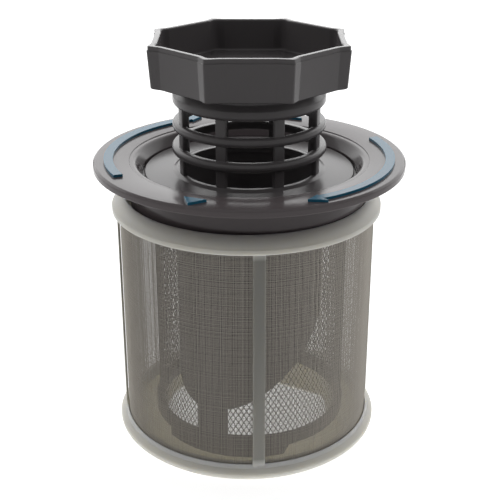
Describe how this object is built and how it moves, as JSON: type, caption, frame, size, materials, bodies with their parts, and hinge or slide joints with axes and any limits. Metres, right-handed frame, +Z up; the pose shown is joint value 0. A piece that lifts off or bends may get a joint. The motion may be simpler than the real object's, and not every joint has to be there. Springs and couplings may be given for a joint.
{
  "type": "dishwasher filter",
  "caption": "Sump filter of a dishwasher: a fine mesh sleeve in a frame under a flange ring, with a coarse insert that lifts out by its cup handle.",
  "frame": {"origin": "centre of the foot, on the surface it stands on, below the axis of the flange", "axes": "+Z up along the filter's axis to the cup handle; the front with the index triangle faces -Y"},
  "size_m": [0.097, 0.097, 0.1293],
  "materials": {
    "grey_plastic": "smooth moulded",
    "dark_plastic": "smooth moulded",
    "pale_plastic": "satin, slightly milky",
    "steel_mesh": "fine woven wire",
    "blue_inlay": "smooth moulded",
    "net_plastic": "fine net"
  },
  "bodies": {
    "micro_filter": {"flange_seat": "grey_plastic", "mesh_frame": "pale_plastic", "mesh_sleeve": "steel_mesh", "arrow_left": "blue_inlay", "arrow_right": "blue_inlay", "index_front": "blue_inlay", "index_rear": "blue_inlay"},
    "coarse_insert": {"cup_handle": "dark_plastic", "neck": "dark_plastic", "cage": "dark_plastic", "inner_tube": "dark_plastic", "basket_frame": "dark_plastic", "net_left": "net_plastic", "net_right": "net_plastic", "net_rear": "net_plastic"}
  },
  "joints": [
    {"name": "insert_lift", "type": "slide", "parent": "micro_filter", "child": "coarse_insert", "axis": [0, 0, 1], "range_m": [0, 0.1]}
  ]
}
